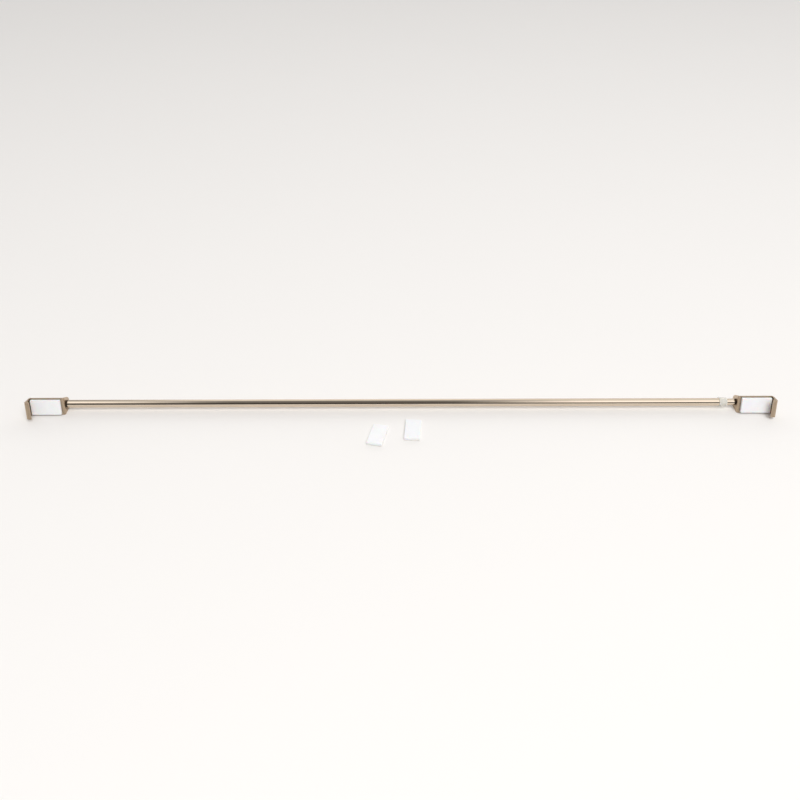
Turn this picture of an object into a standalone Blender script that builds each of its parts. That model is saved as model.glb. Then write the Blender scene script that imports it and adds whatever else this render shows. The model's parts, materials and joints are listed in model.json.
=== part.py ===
"""Telescopic curtain rod with two hook brackets, and its two spare foam pads.

The rod is two thin plated steel tubes, one sliding in the other. Each end is closed by a rimmed
plastic insert, and one screw holds a bracket to it. A bracket is one bent steel strip: a flange with a
round end on the rod, a web with a foam pad, and a hook that passes round the edge of a panel.

Frame: X runs along the rod, the pads face -Y, +Z is up, and the table is at Z = 0. The brackets
lean back on their flanges, as they do when the rod is laid down. Units are metres.
"""

import math

import bmesh
import bpy

# Rod
FLANGE_SPAN = 0.685            # between the faces that the two flanges turn to the rod
OUTER_TUBE_RADIUS = 0.0040
OUTER_TUBE_WALL = 0.0003
INNER_TUBE_RADIUS = 0.0034
INNER_TUBE_WALL = 0.0004
INNER_TUBE_LENGTH = 0.650
INNER_TUBE_SHOWING = 0.0091    # from the collar to the right flange
TUBE_SEGMENTS = 40

# Collar on the open end of the outer tube
COLLAR_LENGTH = 0.0079
COLLAR_WALL = 0.00045
COLLAR_END_WALL = 0.0012
COLLAR_RIDGE_HEIGHT = 0.00035
COLLAR_RIDGE_WIDTH = 0.0008
COLLAR_CHAMFER = 0.0004

# Friction glide on the hidden end of the inner tube
GLIDE_RIB_WIDTH = 0.0016
GLIDE_RIB_COUNT = 3
GLIDE_GROOVE_DEPTH = 0.0005
GLIDE_SPIGOT_LENGTH = 0.010

# Bracket strip
STRIP_WIDTH = 0.018
STRIP_THICKNESS = 0.0012
BEND_RADIUS = 0.0014           # to the middle of the strip
BEND_STEPS = 6
BRACKET_LENGTH = 0.0349        # from the flange's rod side to the outside of the hook
WEB_OFFSET = 0.0070            # from the rod's axis forward to the middle of the web
HOOK_DEPTH = 0.0140            # over the web's back and the lip's front
LIP_WIDTH = 0.0050
FLANGE_END_RADIUS = 0.0070
FLANGE_ARC_STEPS = 20

# Screws, washers and tube inserts
SCREW_SHANK_RADIUS = 0.00145
SCREW_LENGTH = 0.0112          # under the head
SCREW_POINT_LENGTH = 0.0012
SCREW_HEAD_RADIUS = 0.0028
SCREW_HEAD_HEIGHT = 0.0018
SCREW_HEAD_EDGE = 0.0005       # straight side of the head, under its dome
SCREW_DOME_STEPS = 6
RECESS_SPAN = 0.0032
RECESS_WIDTH = 0.0008
RECESS_DEPTH = 0.0009
WASHER_RADIUS = 0.0033
WASHER_THICKNESS = 0.0005
INSERT_LENGTH = 0.012          # inside the tube
INSERT_RIM_THICKNESS = 0.0010
INSERT_RIM_STEP = 0.0002       # by which the rim is smaller than its tube
SMALL_SEGMENTS = 24

# Foam pads
PAD_LENGTH = 0.0303
PAD_HEIGHT = 0.0160
FOAM_THICKNESS = 0.0027
FILM_THICKNESS = 0.0003
PAD_START = 0.0027             # from the flange's rod side to the pad
PAD_EDGE_ROUND = 0.0003
SPARE_PAD_PLACES = (           # centre along X, distance in front of the rod, turn
    (-0.0232, 0.0458, math.radians(-12.6)),
    (0.0116, 0.0378, math.radians(-4.0)),
)

GAP = 0.0003                   # left between pieces that touch
SLOT_CLEARANCE = 0.002         # by which a cutter passes what it cuts
SMOOTH_ANGLE = math.radians(35)

HALF_SPAN = FLANGE_SPAN / 2
WEB_BACK = -WEB_OFFSET + STRIP_THICKNESS / 2
WEB_FRONT = -WEB_OFFSET - STRIP_THICKNESS / 2
OUTER_TUBE_BORE = OUTER_TUBE_RADIUS - OUTER_TUBE_WALL
INNER_TUBE_BORE = INNER_TUBE_RADIUS - INNER_TUBE_WALL
SCREW_HOLE_RADIUS = SCREW_SHANK_RADIUS + GAP
COLLAR_END = HALF_SPAN - INNER_TUBE_SHOWING
OUTER_TUBE_END = COLLAR_END - COLLAR_END_WALL - GAP
TUBE_SETBACK = 2 * GAP + INSERT_RIM_THICKNESS
INNER_TUBE_END = HALF_SPAN - TUBE_SETBACK - INNER_TUBE_LENGTH

# The flange narrows from the strip's full width, at the web's back, along two lines that just
# touch its round end. The bracket lies on one of those lines, so its slope is the lean.
CORNER_DISTANCE = math.hypot(WEB_BACK, STRIP_WIDTH / 2)
LEAN = math.atan2(STRIP_WIDTH / 2, -WEB_BACK) - math.asin(FLANGE_END_RADIUS / CORNER_DISTANCE)

ROD_HEIGHT = FLANGE_END_RADIUS


def front_reach(place):
    """How far in front of the rod the nearest corner of a spare pad lies."""
    _, distance, turn = place
    return distance + PAD_LENGTH / 2 * math.cos(turn) + PAD_HEIGHT / 2 * abs(math.sin(turn))


# The origin is under the middle of the whole set, spare pads included.
ROD_Y = (max(front_reach(place) for place in SPARE_PAD_PLACES) - FLANGE_END_RADIUS) / 2


def clear_scene():
    for thing in list(bpy.data.objects):
        bpy.data.objects.remove(thing, do_unlink=True)


def material(name, colour, roughness, metallic=0.0):
    found = bpy.data.materials.get(name)
    if found:
        return found
    made = bpy.data.materials.new(name)
    made.use_nodes = True
    shader = made.node_tree.nodes["Principled BSDF"]
    shader.inputs["Base Color"].default_value = (*colour, 1.0)
    shader.inputs["Roughness"].default_value = roughness
    shader.inputs["Metallic"].default_value = metallic
    made.diffuse_color = (*colour, 1.0)
    return made


def tube_nickel():
    return material("satin_nickel_tube", (0.62, 0.56, 0.47), 0.28, 1.0)


def strip_nickel():
    return material("satin_nickel_strip", (0.50, 0.44, 0.35), 0.38, 1.0)


def screw_steel():
    return material("zinc_plated_steel", (0.62, 0.62, 0.60), 0.32, 1.0)


def collar_plastic():
    return material("natural_nylon", (0.80, 0.77, 0.68), 0.35)


def glide_plastic():
    return material("white_nylon", (0.82, 0.82, 0.80), 0.50)


def insert_plastic():
    return material("black_nylon", (0.035, 0.028, 0.022), 0.45)


def pad_foam():
    return material("white_foam", (0.86, 0.86, 0.88), 0.85)


def pad_film():
    return material("adhesive_film", (0.78, 0.78, 0.76), 0.45)


def empty(name, location, parent=None, lean=0.0):
    axis = bpy.data.objects.new(name, None)
    bpy.context.collection.objects.link(axis)
    axis.empty_display_size = 0.01
    axis.parent = parent
    axis.location = location
    axis.rotation_euler.x = -lean
    return axis


def finish(name, bm, made_of=None, parent=None):
    """Turn a bmesh into a named object with its faces pointing out."""
    bmesh.ops.recalc_face_normals(bm, faces=bm.faces)
    mesh = bpy.data.meshes.new(name)
    bm.to_mesh(mesh)
    bm.free()
    piece = bpy.data.objects.new(name, mesh)
    bpy.context.collection.objects.link(piece)
    piece.parent = parent
    if made_of:
        mesh.materials.append(made_of)
    return piece


def smooth(piece):
    piece.data.shade_smooth()
    piece.data.set_sharp_from_angle(angle=SMOOTH_ANGLE)
    return piece


def turned(name, profile, segments, made_of, parent):
    """Spin a closed outline of (along X, radius) points about the X axis."""
    bm = bmesh.new()
    points = [bm.verts.new((along, 0.0, radius)) for along, radius in profile]
    loop = list(zip(points, points[1:] + points[:1]))
    edges = [bm.edges.new(pair) for pair in loop if pair[0].co.z > 0 or pair[1].co.z > 0]
    bmesh.ops.spin(
        bm, geom=points + edges, cent=(0, 0, 0), axis=(1, 0, 0),
        angle=math.tau, steps=segments, use_merge=True,
    )
    bmesh.ops.remove_doubles(bm, verts=bm.verts, dist=1e-6)
    return smooth(finish(name, bm, made_of, parent))


def prism(name, outline, start, end, made_of=None, parent=None):
    """Extrude a flat outline of 3-D points by the vector from start to end."""
    bm = bmesh.new()
    face = bm.faces.new([bm.verts.new(point) for point in outline])
    grown = bmesh.ops.extrude_face_region(bm, geom=[face])
    moved = [item for item in grown["geom"] if isinstance(item, bmesh.types.BMVert)]
    bmesh.ops.translate(bm, verts=moved, vec=[b - a for a, b in zip(start, end)])
    return finish(name, bm, made_of, parent)


def cut(piece, cutter, operation="DIFFERENCE"):
    cutter.hide_render = True
    cutter.display_type = "WIRE"
    boolean = piece.modifiers.new(cutter.name, "BOOLEAN")
    boolean.operation = operation
    boolean.object = cutter


def tube(name, low, high, radius, bore, parent):
    outline = [(low, bore), (low, radius), (high, radius), (high, bore)]
    return turned(name, outline, TUBE_SEGMENTS, tube_nickel(), parent)


def make_collar(parent):
    """Plastic cap over the outer tube's open end, with a ridge at its rear."""
    inside = OUTER_TUBE_RADIUS + GAP
    outside = inside + COLLAR_WALL
    ridge = outside + COLLAR_RIDGE_HEIGHT
    rear = COLLAR_END - COLLAR_LENGTH
    guide = INNER_TUBE_RADIUS + GAP
    outline = [
        (rear, inside),
        (rear, ridge),
        (rear + COLLAR_RIDGE_WIDTH, ridge),
        (rear + COLLAR_RIDGE_WIDTH, outside),
        (COLLAR_END - COLLAR_CHAMFER, outside),
        (COLLAR_END, outside - COLLAR_CHAMFER),
        (COLLAR_END, guide),
        (COLLAR_END - COLLAR_END_WALL, guide),
        (COLLAR_END - COLLAR_END_WALL, inside),
    ]
    return turned("tube_collar", outline, TUBE_SEGMENTS, collar_plastic(), parent)


def make_glide(parent):
    """Ribbed plug that rubs in the outer tube; the inner tube turns on its spigot."""
    rib = OUTER_TUBE_BORE - GAP
    groove = rib - GLIDE_GROOVE_DEPTH
    spigot = INNER_TUBE_BORE - GAP
    face = INNER_TUBE_END - GAP
    outline = [(face + GAP + GLIDE_SPIGOT_LENGTH, 0.0), (face + GAP + GLIDE_SPIGOT_LENGTH, spigot)]
    outline.append((face, spigot))
    along = face
    for number in range(GLIDE_RIB_COUNT):
        outline += [(along, rib), (along - GLIDE_RIB_WIDTH, rib)]
        along -= GLIDE_RIB_WIDTH
        if number < GLIDE_RIB_COUNT - 1:
            outline += [(along, groove), (along - GLIDE_RIB_WIDTH, groove)]
            along -= GLIDE_RIB_WIDTH
    outline.append((along, 0.0))
    return turned("glide_plug", outline, SMALL_SEGMENTS, glide_plastic(), parent)


def make_insert(side, tube_radius, bore, parent):
    """Plastic plug pressed into a tube's end, its rim against the flange, drilled for the screw."""
    near = -side * GAP
    shoulder = -side * (GAP + INSERT_RIM_THICKNESS)
    far = shoulder - side * INSERT_LENGTH
    rim = tube_radius - INSERT_RIM_STEP
    plug = bore - GAP
    outline = [
        (near, SCREW_HOLE_RADIUS),
        (near, rim),
        (shoulder, rim),
        (shoulder, plug),
        (far, plug),
        (far, SCREW_HOLE_RADIUS),
    ]
    name = side_name(side) + "_tube_insert"
    return turned(name, outline, SMALL_SEGMENTS, insert_plastic(), parent)


def make_washer(side, parent):
    near = STRIP_THICKNESS + GAP
    far = near + WASHER_THICKNESS
    outline = [
        (side * near, SCREW_HOLE_RADIUS),
        (side * near, WASHER_RADIUS),
        (side * far, WASHER_RADIUS),
        (side * far, SCREW_HOLE_RADIUS),
    ]
    name = side_name(side) + "_screw_washer"
    return turned(name, outline, SMALL_SEGMENTS, screw_steel(), parent)


def make_screw(side, parent):
    """Pan-head screw through the washer and the flange into the insert."""
    seat = STRIP_THICKNESS + 2 * GAP + WASHER_THICKNESS
    tip = seat - SCREW_LENGTH
    outline = [
        (tip, 0.0),
        (tip + SCREW_POINT_LENGTH, SCREW_SHANK_RADIUS),
        (seat, SCREW_SHANK_RADIUS),
        (seat, SCREW_HEAD_RADIUS),
    ]
    dome = SCREW_HEAD_HEIGHT - SCREW_HEAD_EDGE
    for step in range(SCREW_DOME_STEPS):
        angle = math.pi / 2 * step / SCREW_DOME_STEPS
        along = seat + SCREW_HEAD_EDGE + dome * math.sin(angle)
        outline.append((along, SCREW_HEAD_RADIUS * math.cos(angle)))
    outline.append((seat + SCREW_HEAD_HEIGHT, 0.0))
    outline = [(side * along, radius) for along, radius in outline]
    name = side_name(side) + "_bracket_screw"
    screw = turned(name, outline, SMALL_SEGMENTS, screw_steel(), parent)

    long = RECESS_SPAN / 2
    short = RECESS_WIDTH / 2
    corners = [(long, short), (short, short), (short, long)]
    cross = []
    for _ in range(4):
        cross += corners
        corners = [(-z, y) for y, z in corners]
    top = side * (seat + SCREW_HEAD_HEIGHT + SLOT_CLEARANCE)
    floor = side * (seat + SCREW_HEAD_HEIGHT - RECESS_DEPTH)
    outline = [(floor, y, z) for y, z in cross]
    recess = prism(name + "_recess", outline, (floor, 0, 0), (top, 0, 0), parent=parent)
    cut(screw, recess)
    return screw


def rounded_path(corners, radius, steps):
    """Follow corners with an arc at each inner one: a list of (point, unit normal)."""
    path = []
    directions = []
    for (x0, y0), (x1, y1) in zip(corners, corners[1:]):
        length = math.hypot(x1 - x0, y1 - y0)
        directions.append(((x1 - x0) / length, (y1 - y0) / length))
    first, last = directions[0], directions[-1]
    path.append((corners[0], (-first[1], first[0])))
    for corner, before, after in zip(corners[1:-1], directions, directions[1:]):
        turn = 1 if before[0] * after[1] - before[1] * after[0] > 0 else -1
        centre_x = corner[0] - radius * before[0] - turn * radius * before[1]
        centre_y = corner[1] - radius * before[1] + turn * radius * before[0]
        start = math.atan2(before[1], before[0])
        for step in range(steps + 1):
            heading = start + turn * math.pi / 2 * step / steps
            normal = (-math.sin(heading), math.cos(heading))
            point = (centre_x - turn * radius * normal[0], centre_y - turn * radius * normal[1])
            path.append((point, normal))
    path.append((corners[-1], (-last[1], last[0])))
    return path


def make_strip(side, parent):
    """The bent strip: hook lip, hook side, web, and a flange with a round end."""
    half = STRIP_THICKNESS / 2
    lip = WEB_BACK - HOOK_DEPTH + half
    hook = BRACKET_LENGTH - half
    corners = [
        (BRACKET_LENGTH - LIP_WIDTH, lip),
        (hook, lip),
        (hook, -WEB_OFFSET),
        (half, -WEB_OFFSET),
        (half, FLANGE_END_RADIUS + SLOT_CLEARANCE),
    ]
    path = rounded_path(corners, BEND_RADIUS, BEND_STEPS)
    outer = [(x + half * nx, y + half * ny) for (x, y), (nx, ny) in path]
    inner = [(x - half * nx, y - half * ny) for (x, y), (nx, ny) in reversed(path)]
    bottom = -STRIP_WIDTH / 2
    outline = [(side * x, y, bottom) for x, y in outer + inner]
    name = side_name(side) + "_bracket_strip"
    strip = prism(name, outline, (0, 0, bottom), (0, 0, -bottom), strip_nickel(), parent)

    # Blank shape across the rod: two sloping edges that run into the round end.
    front = lip - SLOT_CLEARANCE - half
    spread = STRIP_WIDTH / 2 + (WEB_BACK - front) * math.tan(LEAN)
    shape = [(front, spread), (front, -spread)]
    for step in range(FLANGE_ARC_STEPS + 1):
        angle = (LEAN - math.pi / 2) * (1 - 2 * step / FLANGE_ARC_STEPS)
        shape.append((FLANGE_END_RADIUS * math.cos(angle), FLANGE_END_RADIUS * math.sin(angle)))
    low = -side * SLOT_CLEARANCE
    high = side * (BRACKET_LENGTH + SLOT_CLEARANCE)
    points = [(low, y, z) for y, z in shape]
    blank = prism(name + "_blank", points, (low, 0, 0), (high, 0, 0), parent=parent)
    cut(strip, blank, "INTERSECT")

    low = -side * SLOT_CLEARANCE
    high = side * (STRIP_THICKNESS + SLOT_CLEARANCE)
    outline = [(low, 0.0), (low, SCREW_HOLE_RADIUS), (high, SCREW_HOLE_RADIUS), (high, 0.0)]
    drill = turned(name + "_hole", outline, SMALL_SEGMENTS, None, parent)
    cut(strip, drill)
    return smooth(strip)


def make_slab(name, size, centre, made_of, parent, rounding=0.0):
    half = [extent / 2 for extent in size]
    x, y, z = centre
    outline = [(x + sx * half[0], y + sy * half[1], z - half[2])
               for sx, sy in ((-1, -1), (1, -1), (1, 1), (-1, 1))]
    slab = prism(name, outline, (0, 0, 0), (0, 0, size[2]), made_of, parent)
    if rounding:
        bevel = slab.modifiers.new("edges", "BEVEL")
        bevel.width = rounding
        bevel.segments = 2
    return slab


def make_mounted_pad(side, parent):
    """Adhesive film and foam on the front of a web."""
    along = side * (PAD_START + PAD_LENGTH / 2)
    name = side_name(side)
    film_y = WEB_FRONT - GAP - FILM_THICKNESS / 2
    foam_y = WEB_FRONT - 2 * GAP - FILM_THICKNESS - FOAM_THICKNESS / 2
    film_size = (PAD_LENGTH, FILM_THICKNESS, PAD_HEIGHT)
    foam_size = (PAD_LENGTH, FOAM_THICKNESS, PAD_HEIGHT)
    make_slab(name + "_pad_adhesive", film_size, (along, film_y, 0), pad_film(), parent)
    make_slab(name + "_foam_pad", foam_size, (along, foam_y, 0), pad_foam(), parent, PAD_EDGE_ROUND)


def make_spare_pad(number, place):
    """A loose pad on the table, its liner down."""
    along, distance, turn = place
    axis = empty(f"spare_pad_{number}_lift", (along, ROD_Y - distance, 0))
    axis.rotation_euler.z = turn
    liner_size = (PAD_HEIGHT, PAD_LENGTH, FILM_THICKNESS)
    foam_size = (PAD_HEIGHT, PAD_LENGTH, FOAM_THICKNESS)
    foam_z = FILM_THICKNESS + GAP + FOAM_THICKNESS / 2
    make_slab(f"spare_pad_liner_{number}", liner_size, (0, 0, FILM_THICKNESS / 2), pad_film(), axis)
    make_slab(f"spare_foam_pad_{number}", foam_size, (0, 0, foam_z), pad_foam(), axis, PAD_EDGE_ROUND)


def side_name(side):
    return "right" if side > 0 else "left"


def make_bracket(side, parent):
    """A bracket and its pad, on the axis of the screw that it swivels on."""
    swivel = empty(side_name(side) + "_swivel", (side * HALF_SPAN, 0, 0), parent, LEAN)
    make_strip(side, swivel)
    make_mounted_pad(side, swivel)


def make_end_fixing(side, tube_radius, bore, parent):
    """Insert, washer and screw, which stay with the tube."""
    end = empty(side_name(side) + "_tube_end", (side * HALF_SPAN, 0, 0), parent)
    make_insert(side, tube_radius, bore, end)
    make_washer(side, end)
    make_screw(side, end)


def make_rod():
    rod_axis = empty("rod_axis", (0, ROD_Y, ROD_HEIGHT))
    low = -HALF_SPAN + TUBE_SETBACK
    tube("outer_tube", low, OUTER_TUBE_END, OUTER_TUBE_RADIUS, OUTER_TUBE_BORE, rod_axis)
    make_collar(rod_axis)
    make_end_fixing(-1, OUTER_TUBE_RADIUS, OUTER_TUBE_BORE, rod_axis)
    make_bracket(-1, rod_axis)

    extension = empty("rod_extension", (0, 0, 0), rod_axis)
    high = HALF_SPAN - TUBE_SETBACK
    tube("inner_tube", INNER_TUBE_END, high, INNER_TUBE_RADIUS, INNER_TUBE_BORE, extension)
    make_glide(extension)
    make_end_fixing(1, INNER_TUBE_RADIUS, INNER_TUBE_BORE, extension)
    make_bracket(1, extension)


clear_scene()
make_rod()
for pad_number, pad_place in enumerate(SPARE_PAD_PLACES, start=1):
    make_spare_pad(pad_number, pad_place)
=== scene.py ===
"""Looks for a telescopic curtain rod: two plated tubes, a hook bracket on each end, foam pads."""

import json
import math

import bmesh
import bpy
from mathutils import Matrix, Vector


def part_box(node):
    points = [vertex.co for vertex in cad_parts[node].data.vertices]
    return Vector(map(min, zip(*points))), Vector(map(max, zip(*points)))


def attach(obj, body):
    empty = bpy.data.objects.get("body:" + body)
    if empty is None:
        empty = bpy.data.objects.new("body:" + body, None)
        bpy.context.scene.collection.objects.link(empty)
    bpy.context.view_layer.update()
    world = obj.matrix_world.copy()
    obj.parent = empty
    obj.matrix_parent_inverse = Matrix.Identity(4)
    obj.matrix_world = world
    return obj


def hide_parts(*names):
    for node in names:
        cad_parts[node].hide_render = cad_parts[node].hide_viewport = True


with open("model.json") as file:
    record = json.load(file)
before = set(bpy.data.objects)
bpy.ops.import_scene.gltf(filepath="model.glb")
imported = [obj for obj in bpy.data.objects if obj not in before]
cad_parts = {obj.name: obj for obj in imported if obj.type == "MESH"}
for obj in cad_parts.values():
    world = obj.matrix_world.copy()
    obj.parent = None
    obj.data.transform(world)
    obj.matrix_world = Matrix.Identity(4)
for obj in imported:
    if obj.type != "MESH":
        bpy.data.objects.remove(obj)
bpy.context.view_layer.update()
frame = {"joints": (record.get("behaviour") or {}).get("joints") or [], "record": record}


# Outer tube: thin steel strip rolled and welded to 8 mm, drawn smooth, polished along its length
# and plated in a champagne nickel. Its left end takes an insert, its right end lies in the collar.

TUBE_WALL = 0.0003
TUBE_RIM_ROUND = 0.0001
ROUND_STEPS = 128
SHARP_ANGLE = math.radians(40)
MERGE_DISTANCE = 1e-6
SEED_SIZE = 0.001
POLISHING_LINES_PER_METRE = (50, 4000, 4000)

tube_low, tube_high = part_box("outer_tube")
tube_radius = (tube_high.z - tube_low.z) / 2
rod_axis = (tube_low + tube_high) / 2


def drawn(name, points, closed=True):
    """A wire made by extruding one point through all the others. It stays in edit mode."""
    bpy.ops.object.select_all(action="DESELECT")
    bpy.ops.mesh.primitive_plane_add(size=SEED_SIZE, location=points[0])
    wire = bpy.context.object
    wire.name = name
    bpy.ops.object.mode_set(mode="EDIT")
    bpy.ops.mesh.merge(type="CENTER")
    stops = points[1:] + points[:1] if closed else points[1:]
    for here, there in zip(points, stops):
        step = Vector(there) - Vector(here)
        bpy.ops.mesh.extrude_vertices_move(TRANSFORM_OT_translate={"value": step})
    bpy.ops.mesh.select_all(action="SELECT")
    bpy.ops.mesh.remove_doubles(threshold=MERGE_DISTANCE)
    return wire


def settled(piece):
    """Leave edit mode and put the piece's place into its mesh."""
    bpy.ops.mesh.select_all(action="SELECT")
    bpy.ops.mesh.normals_make_consistent(inside=False)
    bpy.ops.object.mode_set(mode="OBJECT")
    bpy.ops.object.transform_apply(location=True, rotation=True, scale=True)
    return piece


def spun(name, outline, steps=ROUND_STEPS):
    """A piece turned about the rod's axis from an outline of (place along it, radius).

    An outline that starts on the axis makes a solid piece, and any other one is closed to a ring.
    """
    points = [(along, rod_axis.y, rod_axis.z + radius) for along, radius in outline]
    piece = drawn(name, points, closed=outline[0][1] > 0)
    centre = (0, rod_axis.y, rod_axis.z)
    bpy.ops.mesh.spin(steps=steps, angle=math.tau, center=centre, axis=(1, 0, 0))
    bpy.ops.mesh.select_all(action="SELECT")
    bpy.ops.mesh.remove_doubles(threshold=MERGE_DISTANCE)
    return settled(piece)


def pick(piece):
    """Select this piece alone and make it the active one."""
    bpy.ops.object.select_all(action="DESELECT")
    bpy.context.view_layer.objects.active = piece
    piece.select_set(True)


def apply_modifier(piece, kind, **settings):
    """Add a modifier with its settings and apply it."""
    pick(piece)
    modifier = piece.modifiers.new(kind.lower(), kind)
    for setting, value in settings.items():
        setattr(modifier, setting, value)
    bpy.ops.object.modifier_apply(modifier=modifier.name)


def eased(piece, width, segments=3):
    """Round the sharp edges, and shade flat faces flat up to the rounding."""
    apply_modifier(
        piece, "BEVEL", width=width, segments=segments,
        limit_method="ANGLE", angle_limit=SHARP_ANGLE,
    )
    bpy.ops.object.shade_smooth_by_angle(angle=SHARP_ANGLE)
    apply_modifier(piece, "WEIGHTED_NORMAL", keep_sharp=True)


def shade(hex_colour):
    """An sRGB hex value as the linear colour that a node takes."""
    parts = [int(hex_colour[place:place + 2], 16) / 255 for place in (1, 3, 5)]
    linear = [
        part / 12.92 if part <= 0.04045 else ((part + 0.055) / 1.055) ** 2.4
        for part in parts
    ]
    return (*linear, 1.0)


def add_node(tree, kind, settings=None, inputs=None):
    """Add a node, set its properties, and fill its inputs with values or links."""
    made = tree.nodes.new(kind)
    for setting, value in (settings or {}).items():
        setattr(made, setting, value)
    for socket, value in (inputs or {}).items():
        if isinstance(value, bpy.types.NodeSocket):
            tree.links.new(value, made.inputs[socket])
        else:
            made.inputs[socket].default_value = value
    return made


def surface(name, **sockets):
    """A new material, its tree, its shader with the uniform sockets set, and Object coordinates."""
    made = bpy.data.materials.new(name)
    made.use_nodes = True
    shader = made.node_tree.nodes["Principled BSDF"]
    for socket, value in sockets.items():
        shader.inputs[socket.replace("_", " ")].default_value = value
    place = add_node(made.node_tree, "ShaderNodeTexCoord").outputs["Object"]
    return made, made.node_tree, shader, place


def noise(tree, place, scale, detail=2.0):
    """Cloudy noise from 0 to 1. The scale is in features per metre."""
    clouds = add_node(
        tree, "ShaderNodeTexNoise", inputs={"Vector": place, "Scale": scale, "Detail": detail},
    )
    return clouds.outputs["Fac"]


def tinted(tree, shader, pattern, light, dark):
    """Let the base colour go between two hex shades with the pattern."""
    tint = add_node(
        tree, "ShaderNodeMix", {"data_type": "RGBA"},
        {"Factor": pattern, "A": shade(light), "B": shade(dark)},
    )
    tree.links.new(tint.outputs["Result"], shader.inputs["Base Color"])


def glossed(tree, shader, pattern, smooth, rough, start=0.0, end=1.0):
    """Let the roughness go from smooth to rough as the pattern goes from start to end."""
    reach = {"From Min": start, "From Max": end, "To Min": smooth, "To Max": rough}
    gloss = add_node(tree, "ShaderNodeMapRange", inputs={"Value": pattern, **reach})
    tree.links.new(gloss.outputs["Result"], shader.inputs["Roughness"])


def embossed(tree, shader, pattern, strength, depth):
    """Raise the surface finely with the pattern."""
    relief = add_node(
        tree, "ShaderNodeBump", inputs={"Height": pattern, "Strength": strength, "Distance": depth},
    )
    tree.links.new(relief.outputs["Normal"], shader.inputs["Normal"])


def plated_nickel(name, light, dark, smooth, rough):
    """Champagne nickel over polished steel: warm, bright, with fine lines from the polishing."""
    made, tree, shader, place = surface(name, Metallic=1.0)

    # The plating's tint drifts a little over centimetres.
    drift = noise(tree, place, scale=60.0)
    tinted(tree, shader, drift, light, dark)

    # Polishing lines run along the rod: about 20 mm long and 0.25 mm apart.
    stretch = add_node(
        tree, "ShaderNodeMapping", inputs={"Vector": place, "Scale": POLISHING_LINES_PER_METRE},
    )
    lines = noise(tree, stretch.outputs["Vector"], scale=1.0, detail=3.0)
    embossed(tree, shader, lines, strength=0.08, depth=0.00001)

    # The lines and a haze over millimetres share the roughness equally.
    haze = noise(tree, place, scale=180.0, detail=4.0)
    from_lines = add_node(
        tree, "ShaderNodeMath", {"operation": "MULTIPLY_ADD"}, {0: lines, 1: 0.5, 2: 0.25},
    )
    wear = add_node(
        tree, "ShaderNodeMath", {"operation": "MULTIPLY_ADD"},
        {0: haze, 1: 0.5, 2: from_lines.outputs["Value"]},
    )
    glossed(tree, shader, wear.outputs["Value"], smooth, rough, start=0.5)
    return made


tube_finish = plated_nickel(
    "champagne_nickel_on_drawn_tube", "#E2D3C1", "#D9C9B5", smooth=0.05, rough=0.11,
)

outer_tube = spun("plated_outer_tube", [
    (tube_low.x, tube_radius - TUBE_WALL),
    (tube_low.x, tube_radius),
    (tube_high.x, tube_radius),
    (tube_high.x, tube_radius - TUBE_WALL),
])
eased(outer_tube, TUBE_RIM_ROUND)
outer_tube.data.materials.append(tube_finish)
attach(outer_tube, "outer_tube_body")
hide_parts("outer_tube")


# Inner tube: the same stock one size down, so that it slides in the outer tube. Only its last
# centimetre shows while the rod is pushed together.

INNER_WALL = 0.0004

inner_low, inner_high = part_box("inner_tube")
inner_radius = (inner_high.z - inner_low.z) / 2

inner_tube = spun("plated_inner_tube", [
    (inner_low.x, inner_radius - INNER_WALL),
    (inner_low.x, inner_radius),
    (inner_high.x, inner_radius),
    (inner_high.x, inner_radius - INNER_WALL),
])
eased(inner_tube, TUBE_RIM_ROUND)
inner_tube.data.materials.append(tube_finish)
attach(inner_tube, "inner_tube_body")
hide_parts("inner_tube")


# Collar: a thin cap of natural nylon, moulded in one shot and pushed over the end of the outer
# tube. It is milky, so the tube shows through it, and it steadies the inner tube in its mouth.

COLLAR_FIT = 0.00003
COLLAR_MOUTH_FIT = 0.0002
COLLAR_WALL = 0.0007
COLLAR_RIDGE_WIDTH = 0.0008
COLLAR_END_WALL = 0.0012
COLLAR_NOSE = 0.0005
COLLAR_EDGE_ROUND = 0.00015

collar_low, collar_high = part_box("tube_collar")
collar_ridge = (collar_high.z - collar_low.z) / 2
collar_inside = tube_radius + COLLAR_FIT
collar_body = collar_inside + COLLAR_WALL
collar_mouth = inner_radius + COLLAR_MOUTH_FIT

collar = spun("moulded_collar", [
    (collar_low.x, collar_inside),
    (collar_low.x, collar_ridge),
    (collar_low.x + COLLAR_RIDGE_WIDTH, collar_ridge),
    (collar_low.x + COLLAR_RIDGE_WIDTH, collar_body),
    (collar_high.x - COLLAR_NOSE, collar_body),
    (collar_high.x, collar_body - COLLAR_NOSE),
    (collar_high.x, collar_mouth),
    (collar_high.x - COLLAR_END_WALL, collar_mouth),
    (collar_high.x - COLLAR_END_WALL, collar_inside),
])
eased(collar, COLLAR_EDGE_ROUND)

nylon, tree, shader, place = surface(
    "natural_nylon_moulded", IOR=1.53, Alpha=0.55, Subsurface_Weight=0.7,
    Subsurface_Radius=(1.0, 1.0, 0.9), Subsurface_Scale=0.002,
)
# The melt leaves faint cloudy flow marks a few millimetres long.
flow = noise(tree, place, scale=350.0, detail=3.0)
tinted(tree, shader, flow, "#FCFBF3", "#F4F2E6")
glossed(tree, shader, flow, smooth=0.22, rough=0.34)
collar.data.materials.append(nylon)
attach(collar, "outer_tube_body")
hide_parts("tube_collar")


# Glide plug: a ribbed nylon plug on the hidden end of the inner tube. The ribs rub on the bore of
# the outer tube, and hold the rod at the length that it is pulled to.

GLIDE_GROOVE = 0.0005
GLIDE_SPIGOT = 0.0103
GLIDE_SPIGOT_FIT = 0.0001
GLIDE_BANDS = 5
GLIDE_RIB_ROUND = 0.00025
SMALL_PART_STEPS = 64

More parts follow.
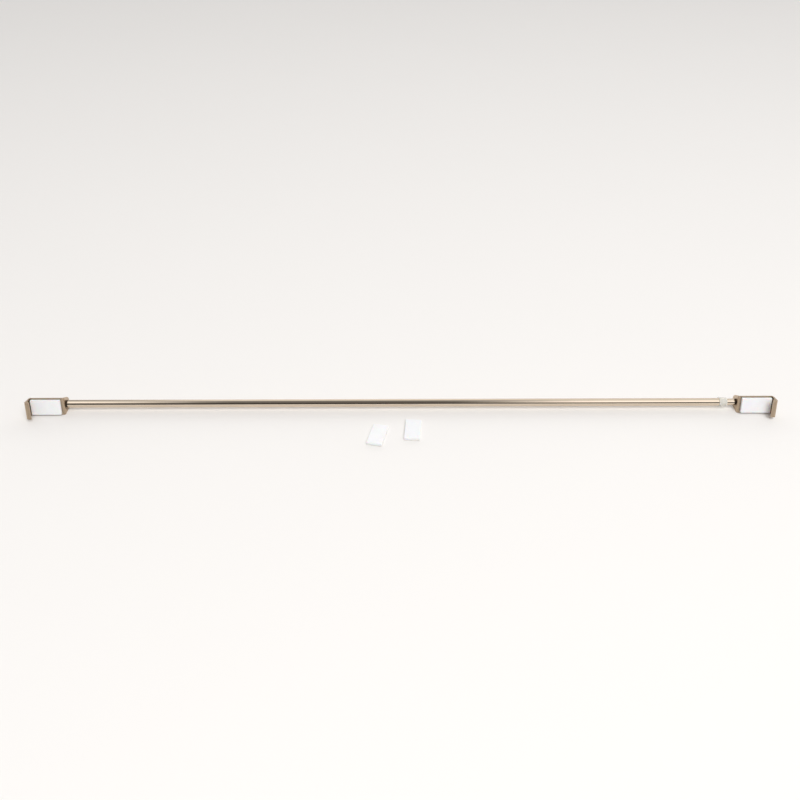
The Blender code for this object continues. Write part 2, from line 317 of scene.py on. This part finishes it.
glide_low, glide_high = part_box("glide_plug")
glide_radius = (glide_high.z - glide_low.z) / 2
spigot_radius = inner_radius - INNER_WALL - GLIDE_SPIGOT_FIT
band = (glide_high.x - GLIDE_SPIGOT - glide_low.x) / GLIDE_BANDS
glide_outline = [(glide_high.x, 0.0), (glide_high.x, spigot_radius)]
glide_outline.append((glide_low.x + GLIDE_BANDS * band, spigot_radius))
for number in range(GLIDE_BANDS, 0, -1):
    radius = glide_radius if number % 2 else glide_radius - GLIDE_GROOVE
    glide_outline.append((glide_low.x + number * band, radius))
    glide_outline.append((glide_low.x + (number - 1) * band, radius))
glide_outline.append((glide_low.x, 0.0))
glide = spun("ribbed_glide_plug", glide_outline, SMALL_PART_STEPS)
eased(glide, GLIDE_RIB_ROUND)


def moulded_plastic(name, light, dark, grain_mm):
    """Solid moulded plastic: an even colour with the fine grain of the mould's surface."""
    made, tree, shader, place = surface(name, IOR=1.5)
    grain = noise(tree, place, scale=1000.0 / grain_mm, detail=3.0)
    tinted(tree, shader, grain, light, dark)
    glossed(tree, shader, grain, smooth=0.35, rough=0.5)
    embossed(tree, shader, grain, strength=0.2, depth=0.00002)
    return made


glide_plastic = moulded_plastic("white_nylon_moulded", "#E9E8E3", "#DDDCD6", grain_mm=0.4)
glide.data.materials.append(glide_plastic)
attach(glide, "glide_body")
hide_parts("glide_plug")


# Tube inserts: nylon plugs pressed into the two outer ends of the rod. The rim of each stands
# between the bare tube end and the flange as a dark neck. Its dark brown is partly the nylon's own
# colour and partly painted shade and dark reflection where the rod meets the flange.

INSERT_RIM_THICKNESS = 0.0013
INSERT_RIM_GAP = 0.00015
INSERT_RIM_STEP = 0.0002
INSERT_RIM_ROUND = 0.0002
INSERT_FIT = 0.0001
INSERT_BORE = 0.0016
INSERT_STEPS = 96

swivel = next(joint for joint in frame["joints"] if joint["name"] == "right_bracket_swivel")
flange_x = swivel["pos_m"][0]
# The dark brown is partly the nylon's own colour and partly painted shade and dark reflection at
# the flange.
dark_insert_and_painted_shade = moulded_plastic("dark_nylon_and_painted_shade", "#3A2C1F", "#2B2118", grain_mm=0.3)

for side, name, body, radius, wall in (
    (-1, "left", "outer_tube_body", tube_radius, TUBE_WALL),
    (1, "right", "inner_tube_body", inner_radius, INNER_WALL),
):
    low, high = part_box(name + "_tube_insert")
    inner_end = high.x if side < 0 else low.x
    near = side * (flange_x - INSERT_RIM_GAP)
    shoulder = near - side * INSERT_RIM_THICKNESS
    rim_radius = radius - INSERT_RIM_STEP
    plug_radius = radius - wall - INSERT_FIT
    insert = spun(name + "_rimmed_insert", [
        (near, INSERT_BORE),
        (near, rim_radius),
        (shoulder, rim_radius),
        (shoulder, plug_radius),
        (inner_end, plug_radius),
        (inner_end, INSERT_BORE),
    ], INSERT_STEPS)
    eased(insert, INSERT_RIM_ROUND)
    insert.data.materials.append(dark_insert_and_painted_shade)
    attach(insert, body)
    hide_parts(name + "_tube_insert")


# Screws and washers: one pan-head cross-slot screw holds each bracket, over a plain punched
# washer. Both are steel with bright zinc plating, a little blue against the nickel.

SCREW_RECESS_SPAN = 0.0032
SCREW_RECESS_WIDTH = 0.00075
SCREW_RECESS_DEPTH = 0.0010
SCREW_HEAD_HEIGHT = 0.0018
SCREW_HEAD_EDGE = 0.0005
SCREW_POINT = 0.0012
SCREW_DOME_STEPS = 10
SCREW_SHANK_RADIUS = 0.00145
SCREW_EDGE_ROUND = 0.00008
WASHER_EDGE_ROUND = 0.00012
WASHER_STEPS = 96


def cut(piece, cutter, operation="DIFFERENCE"):
    """Cut the piece with another solid, and take that solid away."""
    apply_modifier(piece, "BOOLEAN", operation=operation, object=cutter)
    bpy.data.objects.remove(cutter, do_unlink=True)


zinc, tree, shader, place = surface("bright_zinc_plated_steel", Metallic=1.0)
# Zinc crystals mottle the surface over about half a millimetre.
crystals = add_node(tree, "ShaderNodeTexVoronoi", inputs={"Vector": place, "Scale": 2000.0})
spangle = crystals.outputs["Distance"]
tinted(tree, shader, spangle, "#C9CCCE", "#B3B8BC")
glossed(tree, shader, spangle, smooth=0.22, rough=0.36)

for side, name, body in ((-1, "left", "outer_tube_body"), (1, "right", "inner_tube_body")):
    low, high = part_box(name + "_screw_washer")
    washer_radius = (high.z - low.z) / 2
    washer = spun(name + "_punched_washer", [
        (low.x, INSERT_BORE),
        (low.x, washer_radius),
        (high.x, washer_radius),
        (high.x, INSERT_BORE),
    ], WASHER_STEPS)
    eased(washer, WASHER_EDGE_ROUND)
    washer.data.materials.append(zinc)
    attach(washer, body)
    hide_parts(name + "_screw_washer")

    low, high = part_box(name + "_bracket_screw")
    top = side * max(side * low.x, side * high.x)
    tip = low.x + high.x - top
    head_radius = (high.z - low.z) / 2
    seat = top - side * SCREW_HEAD_HEIGHT
    outline = [
        (tip, 0.0),
        (tip + side * SCREW_POINT, SCREW_SHANK_RADIUS),
        (seat, SCREW_SHANK_RADIUS),
        (seat, head_radius),
    ]
    dome = SCREW_HEAD_HEIGHT - SCREW_HEAD_EDGE
    for step in range(SCREW_DOME_STEPS):
        angle = math.pi / 2 * step / SCREW_DOME_STEPS
        along = seat + side * (SCREW_HEAD_EDGE + dome * math.sin(angle))
        outline.append((along, head_radius * math.cos(angle)))
    outline.append((top, 0.0))
    screw = spun(name + "_pan_head_screw", outline, SMALL_PART_STEPS)
    # The cross recess is two slots. Each cutter is centred on the top, so half of it cuts.
    for size in (
        (2 * SCREW_RECESS_DEPTH, SCREW_RECESS_SPAN, SCREW_RECESS_WIDTH),
        (2 * SCREW_RECESS_DEPTH, SCREW_RECESS_WIDTH, SCREW_RECESS_SPAN),
    ):
        bpy.ops.object.select_all(action="DESELECT")
        bpy.ops.mesh.primitive_cube_add(size=1, location=(top, rod_axis.y, rod_axis.z), scale=size)
        cut(screw, bpy.context.object)
    eased(screw, SCREW_EDGE_ROUND, segments=2)
    screw.data.materials.append(zinc)
    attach(screw, body)
    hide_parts(name + "_bracket_screw")


# Brackets: a steel strip, blanked with one round end, drilled, bent twice into a hook and once
# into the flange that the rod is screwed to, tumbled to take off the burrs, and plated.

STRIP_THICKNESS = 0.0012
STRIP_WIDTH = 0.018
BRACKET_LENGTH = 0.0349
WEB_OFFSET = 0.0070
HOOK_DEPTH = 0.0140
LIP_WIDTH = 0.0050
FLANGE_END_RADIUS = 0.0070
BEND_RADIUS = 0.0014
BEND_STEPS = 12
FLANGE_HOLE_RADIUS = 0.00175
STRIP_EDGE_ROUND = 0.00022
CUTTER_REACH = 0.004

pad_mount = next(m for m in frame["record"]["mounts"] if m["name"] == "right_pad_face")
lean = math.asin(pad_mount["axis"][2])


def bent_path(corners):
    """The middle of the strip from above: straight between corners, with an arc at each bend.

    The corners are right angles, given from the flange and the rod's axis.
    """
    path = [corners[0]]
    for before, corner, after in zip(corners, corners[1:], corners[2:]):
        arrive = (Vector(corner) - Vector(before)).normalized()
        leave = (Vector(after) - Vector(corner)).normalized()
        centre = Vector(corner) + BEND_RADIUS * (leave - arrive)
        for step in range(BEND_STEPS + 1):
            angle = math.pi / 2 * step / BEND_STEPS
            outward = arrive * math.sin(angle) - leave * math.cos(angle)
            path.append(centre + BEND_RADIUS * outward)
    path.append(corners[-1])
    return [(flange_x + point[0], rod_axis.y + point[1]) for point in path]


def cutter_from(name, outline):
    """A solid across the bracket, from an outline of (y, z) about the rod's axis."""
    start = flange_x - CUTTER_REACH
    points = [(start, rod_axis.y + y, rod_axis.z + z) for y, z in outline]
    solid = drawn(name, points)
    bpy.ops.mesh.edge_face_add()
    reach = (BRACKET_LENGTH + 2 * CUTTER_REACH, 0, 0)
    bpy.ops.mesh.extrude_region_move(TRANSFORM_OT_translate={"value": reach})
    return settled(solid)


def leaned_back(piece):
    """Turn the piece about the rod's axis, as the bracket lies on its flange and web."""
    pick(piece)
    bpy.ops.transform.rotate(
        value=lean, orient_axis="X", orient_type="GLOBAL",
        center_override=(0, rod_axis.y, rod_axis.z),
    )
    bpy.ops.object.transform_apply(location=True, rotation=True, scale=True)


def own_copy(piece, name):
    """A copy of the piece with its own mesh, picked."""
    copy = piece.copy()
    copy.data = piece.data.copy()
    copy.name = name
    bpy.context.collection.objects.link(copy)
    pick(copy)
    return copy


def mirrored(piece, name):
    """The same piece for the left bracket."""
    copy = own_copy(piece, name)
    bpy.ops.transform.resize(value=(-1, 1, 1), center_override=(0, 0, 0))
    bpy.ops.object.transform_apply(location=True, rotation=True, scale=True)
    bpy.ops.object.mode_set(mode="EDIT")
    return settled(copy)


half = STRIP_THICKNESS / 2
web_back = -WEB_OFFSET + half
lip_middle = web_back - HOOK_DEPTH + half
hook_middle = BRACKET_LENGTH - half
path = bent_path([
    (BRACKET_LENGTH - LIP_WIDTH, lip_middle),
    (hook_middle, lip_middle),
    (hook_middle, -WEB_OFFSET),
    (half, -WEB_OFFSET),
    (half, FLANGE_END_RADIUS + CUTTER_REACH),
])
bottom = rod_axis.z - STRIP_WIDTH / 2
right_strip = drawn("right_bent_bracket", [(x, y, bottom) for x, y in path], closed=False)
bpy.ops.mesh.extrude_edges_move(TRANSFORM_OT_translate={"value": (0, 0, STRIP_WIDTH)})
settled(right_strip)
apply_modifier(right_strip, "SOLIDIFY", thickness=STRIP_THICKNESS, offset=0, use_even_offset=True)

# The flange narrows from the back of the web to its round end, along two lines that touch the
# end's arc. The web and the hook keep the strip's full width.
front = lip_middle - CUTTER_REACH
half_height = STRIP_WIDTH / 2 + (web_back - front) * math.tan(lean)
blank = [(front, half_height), (front, -half_height)]
for step in range(ROUND_STEPS // 2 + 1):
    angle = (lean - math.pi / 2) * (1 - 4 * step / ROUND_STEPS)
    blank.append((FLANGE_END_RADIUS * math.cos(angle), FLANGE_END_RADIUS * math.sin(angle)))
cut(right_strip, cutter_from("bracket_blank", blank), "INTERSECT")

hole = []
for step in range(ROUND_STEPS // 2):
    angle = math.tau * 2 * step / ROUND_STEPS
    hole.append((FLANGE_HOLE_RADIUS * math.cos(angle), FLANGE_HOLE_RADIUS * math.sin(angle)))
cut(right_strip, cutter_from("flange_hole", hole))
left_strip = mirrored(right_strip, "left_bent_bracket")

strip_finish = plated_nickel(
    "champagne_nickel_on_bent_strip", "#C7B49D", "#BCA78F", smooth=0.28, rough=0.40,
)
for name, strip in (("right", right_strip), ("left", left_strip)):
    leaned_back(strip)
    eased(strip, STRIP_EDGE_ROUND)
    strip.data.materials.append(strip_finish)
    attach(strip, name + "_bracket_body")
    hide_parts(name + "_bracket_strip")


# Foam pads: white closed-cell foam, die-cut to one size. Two are stuck to the fronts of the
# brackets to save the door's or sash's paint, and two spares lie loose on the table.

PAD_LENGTH = 0.0303
PAD_HEIGHT = 0.0160
PAD_THICKNESS = 0.0029
PAD_START = 0.0027
PAD_FRONT = 0.0112
FOAM_GRID = 0.00045
FOAM_SIDE_DRAG = 0.00015
FOAM_EDGE_FALL = 0.00012
FOAM_EDGE_POWER = 6
SPARE_PAD_TURNS = (math.radians(-12.6), math.radians(-4.0))


def foam_slab():
    """The die-cut pad, lying flat: full in the middle, its sides dragged in by the blade.

    The edge power keeps both effects near the edges. One power more keeps the sign of the side.
    """
    bpy.ops.object.select_all(action="DESELECT")
    size = (PAD_LENGTH, PAD_HEIGHT, PAD_THICKNESS)
    bpy.ops.mesh.primitive_cube_add(size=1, location=(0, 0, 0), scale=size)
    slab = bpy.context.object
    bpy.ops.object.transform_apply(location=False, rotation=False, scale=True)
    apply_modifier(slab, "REMESH", mode="VOXEL", voxel_size=FOAM_GRID)
    apply_modifier(slab, "SMOOTH", factor=0.5, iterations=2)
    for point in slab.data.vertices:
        along, across, up = (2 * place / extent for place, extent in zip(point.co, size))
        drag = FOAM_SIDE_DRAG * (1 - up ** 2)
        fall = FOAM_EDGE_FALL * max(along ** FOAM_EDGE_POWER, across ** FOAM_EDGE_POWER)
        point.co.x -= drag * along ** (FOAM_EDGE_POWER + 1)
        point.co.y -= drag * across ** (FOAM_EDGE_POWER + 1)
        point.co.z -= fall * up
    apply_modifier(slab, "SUBSURF", levels=1, render_levels=1)
    bpy.ops.object.shade_smooth()
    return slab


def laid(master, name, centre, turn=0.0, stands=False):
    """A copy of a flat piece, turned, stood up if need be, and put in place."""
    copy = own_copy(master, name)
    copy.rotation_euler = (math.pi / 2 if stands else 0, 0, turn)
    copy.location = centre
    bpy.ops.object.transform_apply(location=True, rotation=True, scale=True)
    return copy


foam, tree, shader, place = surface(
    "white_closed_cell_foam", Roughness=0.9, IOR=1.45, Specular_IOR_Level=0.3,
    Subsurface_Weight=0.2, Subsurface_Scale=0.001,
)
tinted(tree, shader, noise(tree, place, scale=150.0), "#F7F8FA", "#EFF0F3")
# The surface shows cells of about a third of a millimetre.
cells = add_node(tree, "ShaderNodeTexVoronoi", inputs={"Vector": place, "Scale": 3000.0})
embossed(tree, shader, cells.outputs["Distance"], strength=0.25, depth=0.00005)

pad_master = foam_slab()
pad_master.data.materials.append(foam)
pad_place = (
    flange_x + PAD_START + PAD_LENGTH / 2,
    rod_axis.y - PAD_FRONT + PAD_THICKNESS / 2,
    rod_axis.z,
)
right_pad = laid(pad_master, "right_die_cut_pad", pad_place, stands=True)
left_pad = mirrored(right_pad, "left_die_cut_pad")
for name, pad in (("right", right_pad), ("left", left_pad)):
    leaned_back(pad)
    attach(pad, name + "_bracket_body")
    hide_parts(name + "_foam_pad")

for number, turn in enumerate(SPARE_PAD_TURNS, start=1):
    low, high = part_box(f"spare_foam_pad_{number}")
    centre = ((low.x + high.x) / 2, (low.y + high.y) / 2, high.z - PAD_THICKNESS / 2)
    pad = laid(pad_master, f"spare_die_cut_pad_{number}", centre, turn + math.pi / 2)
    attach(pad, f"spare_pad_{number}_body")
    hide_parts(f"spare_foam_pad_{number}")
bpy.data.objects.remove(pad_master, do_unlink=True)


# Adhesive and liners: a film of tacky acrylic holds each mounted pad to its web. The spares still
# have the waxed paper liner that is peeled off before they are stuck down.

ADHESIVE_THICKNESS = 0.0006
ADHESIVE_INSET = 0.0002
LINER_THICKNESS = 0.00035
SHEET_CORNER = 0.0006
SHEET_CORNER_STEPS = 5


def thin_sheet(length, width, thickness):
    """A sheet with slightly rounded corners, lying flat."""
    bpy.ops.object.select_all(action="DESELECT")
    size = (length, width, thickness)
    bpy.ops.mesh.primitive_cube_add(size=1, location=(0, 0, 0), scale=size)
    sheet = bpy.context.object
    bpy.ops.object.transform_apply(location=False, rotation=False, scale=True)
    bpy.ops.object.mode_set(mode="EDIT")
    bpy.ops.mesh.select_mode(type="EDGE")
    bpy.ops.mesh.select_all(action="DESELECT")
    mesh = bmesh.from_edit_mesh(sheet.data)
    for edge in mesh.edges:
        first, second = edge.verts
        edge.select_set(abs(first.co.z - second.co.z) > thickness / 2)
    bmesh.update_edit_mesh(sheet.data)
    bpy.ops.mesh.bevel(offset=SHEET_CORNER, segments=SHEET_CORNER_STEPS, affect="EDGES")
    bpy.ops.object.mode_set(mode="OBJECT")
    return sheet


acrylic, tree, shader, place = surface(
    "clear_acrylic_adhesive", IOR=1.48, Transmission_Weight=0.3, Roughness=0.35,
)
tinted(tree, shader, noise(tree, place, scale=500.0), "#DAD6CC", "#CCC8BD")

film_length = PAD_LENGTH - 2 * ADHESIVE_INSET
film_height = PAD_HEIGHT - 2 * ADHESIVE_INSET
film_master = thin_sheet(film_length, film_height, ADHESIVE_THICKNESS)
film_master.data.materials.append(acrylic)
film_middle = (PAD_FRONT - PAD_THICKNESS + WEB_OFFSET + half) / 2
film_place = (pad_place[0], rod_axis.y - film_middle, rod_axis.z)
right_film = laid(film_master, "right_adhesive_film", film_place, stands=True)
left_film = mirrored(right_film, "left_adhesive_film")
bpy.data.objects.remove(film_master, do_unlink=True)
for name, film in (("right", right_film), ("left", left_film)):
    leaned_back(film)
    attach(film, name + "_bracket_body")
    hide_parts(name + "_pad_adhesive")

paper, tree, shader, place = surface(
    "waxed_liner_paper", IOR=1.45, Coat_Weight=0.4, Coat_Roughness=0.2,
)
# Paper fibres lie in all directions, a millimetre or so long.
fibres = noise(tree, place, scale=1200.0, detail=4.0)
tinted(tree, shader, fibres, "#F4F3EE", "#E8E6DF")
glossed(tree, shader, fibres, smooth=0.4, rough=0.6)

liner_master = thin_sheet(PAD_LENGTH, PAD_HEIGHT, LINER_THICKNESS)
liner_master.data.materials.append(paper)
for number, turn in enumerate(SPARE_PAD_TURNS, start=1):
    low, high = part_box(f"spare_pad_liner_{number}")
    centre = ((low.x + high.x) / 2, (low.y + high.y) / 2, low.z + LINER_THICKNESS / 2)
    liner = laid(liner_master, f"spare_pad_paper_liner_{number}", centre, turn + math.pi / 2)
    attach(liner, f"spare_pad_{number}_body")
    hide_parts(f"spare_pad_liner_{number}")
bpy.data.objects.remove(liner_master, do_unlink=True)


# Table: a plain matt white sheet, wide enough to fill every view.

TABLE_SIZE = 12.0
TABLE_DROP = 0.00005

bpy.ops.object.select_all(action="DESELECT")
bpy.ops.mesh.primitive_plane_add(size=TABLE_SIZE, location=(0, 0, -TABLE_DROP))
table = bpy.context.object
table.name = "white_table"
white_card, tree, shader, place = surface(
    "matt_white_card", Roughness=0.75, Specular_IOR_Level=0.25,
)
tinted(tree, shader, noise(tree, place, scale=4.0), "#F4F2F0", "#F3F1EF")
table.data.materials.append(white_card)


# Studio: a pale wall behind, a dim ceiling, and a dark room in front between two soft windows.
# Only reflections see it: the polished tube mirrors it as stripes. Matt surfaces are lit by a
# white tent instead, brightest low at the back, and past the table the camera sees a plain wall.
# Each sky is a list of (degrees from the front horizon over the top to the back one, grey).

MIDDLE_SKY = [
    (0, 0.08), (28, 0.05), (40, 0.14), (60, 0.19),
    (92, 0.25), (108, 0.70), (130, 1.05), (180, 1.05),
]
LEFT_SKY = [
    (0, 0.10), (43, 0.12), (56, 1.50), (84, 1.35), (98, 0.95),
    (116, 0.85), (127, 0.40), (160, 0.40), (175, 0.85),
]
RIGHT_SKY = [
    (0, 0.08), (25, 0.10), (37, 1.55), (64, 1.50), (85, 1.10), (100, 0.92), (180, 0.92),
]
TENT_SKY = [(0, 0.32), (95, 0.32), (135, 0.80), (150, 1.60), (180, 1.60)]
LEFT_SKY_STARTS, LEFT_SKY_FULL = -0.19, -0.36
RIGHT_SKY_STARTS, RIGHT_SKY_FULL = 0.05, 0.24
WALL_COLOUR = "#F6F5F3"
WARM_WHITE = (1.0, 0.99, 0.98)
KEY_PLACE = Vector((1.0, -2.3, 3.5))
KEY_SIZE = 2.6
KEY_WATTS = 134.0

scene = bpy.context.scene
studio = bpy.data.worlds.new("studio")
scene.world = studio
studio.use_nodes = True
tree = studio.node_tree
direction = add_node(tree, "ShaderNodeTexCoord").outputs["Generated"]
parts = add_node(tree, "ShaderNodeSeparateXYZ", inputs={"Vector": direction}).outputs
ahead = add_node(tree, "ShaderNodeMath", {"operation": "MULTIPLY"}, {0: parts["Y"], 1: -1.0})
height = add_node(
    tree, "ShaderNodeMath", {"operation": "ARCTAN2"}, {0: parts["Z"], 1: ahead.outputs["Value"]},
)
swing = add_node(
    tree, "ShaderNodeMapRange",
    inputs={"Value": height.outputs["Value"], "From Min": 0.0, "From Max": math.pi},
).outputs["Result"]


def sky(stops):
    """A ramp of greys over the angle from the front horizon."""
    ramp = add_node(tree, "ShaderNodeValToRGB", inputs={"Fac": swing})
    points = ramp.color_ramp.elements
    while len(points) < len(stops):
        points.new(0.5)
    for point, (degrees, grey) in zip(points, stops):
        point.position = degrees / 180
        point.color = (*(grey * part for part in WARM_WHITE), 1.0)
    return ramp.outputs["Color"]


light = sky(MIDDLE_SKY)
for side_sky, start, end in (
    (sky(LEFT_SKY), LEFT_SKY_STARTS, LEFT_SKY_FULL),
    (sky(RIGHT_SKY), RIGHT_SKY_STARTS, RIGHT_SKY_FULL),
):
    share = add_node(
        tree, "ShaderNodeMapRange", {"interpolation_type": "SMOOTHSTEP"},
        {"Value": parts["X"], "From Min": start, "From Max": end},
    )
    light = add_node(
        tree, "ShaderNodeMix", {"data_type": "RGBA"},
        {"Factor": share.outputs["Result"], "A": light, "B": side_sky},
    ).outputs["Result"]
rays = add_node(tree, "ShaderNodeLightPath").outputs
tent = add_node(
    tree, "ShaderNodeMix", {"data_type": "RGBA"},
    {"Factor": rays["Is Glossy Ray"], "A": sky(TENT_SKY), "B": light},
)
wall = add_node(
    tree, "ShaderNodeMix", {"data_type": "RGBA"},
    {"Factor": rays["Is Camera Ray"], "A": tent.outputs["Result"], "B": shade(WALL_COLOUR)},
)
backdrop = tree.nodes["Background"]
tree.links.new(wall.outputs["Result"], backdrop.inputs["Color"])
backdrop.inputs["Strength"].default_value = 1.0

key_light = bpy.data.lights.new("key_softbox", "AREA")
key_light.shape = "SQUARE"
key_light.size = KEY_SIZE
key_light.energy = KEY_WATTS
key_light.color = WARM_WHITE
key = bpy.data.objects.new("key_softbox", key_light)
bpy.context.collection.objects.link(key)
key.location = KEY_PLACE
key.rotation_euler = (-KEY_PLACE).to_track_quat("-Z", "Y").to_euler()
key.visible_glossy = False


# Camera: above and in front, rolled so that the rod lies nearly level. The rod fills the width of
# the frame.

CAMERA_PITCH = math.radians(36.75)
CAMERA_ROLL = math.radians(0.17)
CAMERA_DISTANCE = 0.882
LENS_MM = 38.7
SENSOR_MM = 36.0
AIM_ABOVE_ROD = 0.0028
AIM_LEFT = 0.0010

forward = Vector((0, math.cos(CAMERA_PITCH), -math.sin(CAMERA_PITCH)))
upward = Vector((0, math.sin(CAMERA_PITCH), math.cos(CAMERA_PITCH)))
aim = Vector((-AIM_LEFT, rod_axis.y, rod_axis.z)) + AIM_ABOVE_ROD * upward
camera_data = bpy.data.cameras.new("camera")
camera_data.sensor_width = SENSOR_MM
camera_data.lens = LENS_MM
camera = bpy.data.objects.new("camera", camera_data)
bpy.context.collection.objects.link(camera)
camera.location = aim - CAMERA_DISTANCE * forward
camera.rotation_euler = forward.to_track_quat("-Z", "Y").to_euler()
camera.rotation_euler.rotate_axis("Z", -CAMERA_ROLL)
scene.camera = camera
scene.view_settings.view_transform = "Standard"
